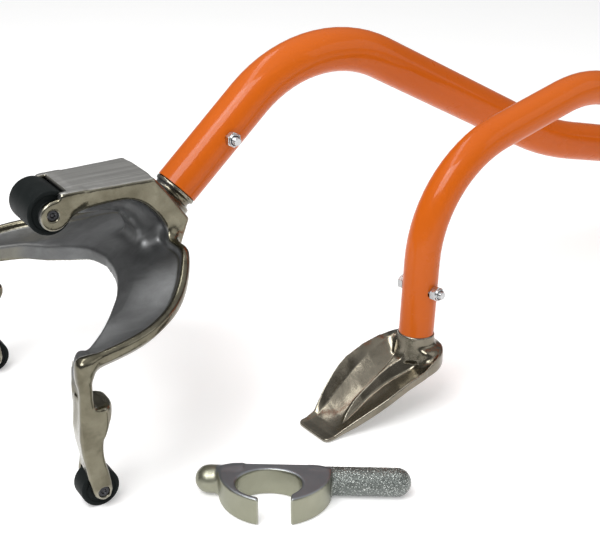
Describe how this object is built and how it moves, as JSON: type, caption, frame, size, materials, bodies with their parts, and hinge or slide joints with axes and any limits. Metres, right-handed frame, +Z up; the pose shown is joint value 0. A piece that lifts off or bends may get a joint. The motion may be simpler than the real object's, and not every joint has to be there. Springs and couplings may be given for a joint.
{
  "type": "manual truck tyre changer set",
  "caption": "Hand tools for tubeless truck tyres: a bent lever with a roller claw, a bent lever with a spoon, and a loose rim clamp, lying together on one floor.",
  "frame": {"origin": "on the floor, under the middle of the whole set's box", "axes": "+Z up, +X from the claw along the demounting lever, +Y away from the mounting lever's side"},
  "size_m": [1.3894, 0.4366, 0.3424],
  "materials": {
    "orange_paint": "glossy orange enamel on steel pipe",
    "black_plastic": "soft black plastic cap",
    "nickel_casting": "warm satin to bright nickel plate on a polished casting",
    "zinc_forging": "satin zinc plate, rough as cast on the handle",
    "zinc_steel": "bright zinc plated steel",
    "nylon": "dark nylon",
    "roller_rubber": "smooth dark moulded rubber",
    "bush_steel": "turned steel, oiled"
  },
  "bodies": {
    "demount_lever": {"demount_tube": "orange_paint", "demount_end_cap": "black_plastic", "claw_casting": "nickel_casting", "claw_bolt": "zinc_steel", "claw_nut": "zinc_steel", "claw_nut_ring": "nylon", "top_roller_axle": "zinc_steel", "near_roller_axle": "zinc_steel", "far_roller_axle": "zinc_steel"},
    "top_roller": {"top_roller": "roller_rubber", "top_roller_bush": "bush_steel"},
    "near_roller": {"near_roller": "roller_rubber", "near_roller_bush": "bush_steel"},
    "far_roller": {"far_roller": "roller_rubber", "far_roller_bush": "bush_steel"},
    "mount_lever": {"mount_tube": "orange_paint", "mount_end_cap": "black_plastic", "spoon_casting": "nickel_casting", "spoon_bolt": "zinc_steel", "spoon_nut": "zinc_steel", "spoon_nut_ring": "nylon"},
    "rim_clamp": {"rim_clamp": "zinc_forging"}
  },
  "joints": [
    {"name": "top_roller_spin", "type": "hinge", "parent": "demount_lever", "child": "top_roller", "pos_m": [-0.65673, 0.0613, 0.221], "axis": [0, 1, 0], "continuous": true},
    {"name": "near_roller_spin", "type": "hinge", "parent": "demount_lever", "child": "near_roller", "pos_m": [-0.67673, -0.0777, 0.017], "axis": [0, 1, 0], "continuous": true},
    {"name": "far_roller_spin", "type": "hinge", "parent": "demount_lever", "child": "far_roller", "pos_m": [-0.67673, 0.2003, 0.017], "axis": [0, 1, 0], "continuous": true},
    {"name": "mount_lever_lift", "type": "slide", "parent": "demount_lever", "child": "mount_lever", "axis": [0, 0, 1], "range_m": [0, 0.3]},
    {"name": "rim_clamp_lift", "type": "slide", "parent": "demount_lever", "child": "rim_clamp", "axis": [0, 0, 1], "range_m": [0, 0.1]}
  ]
}
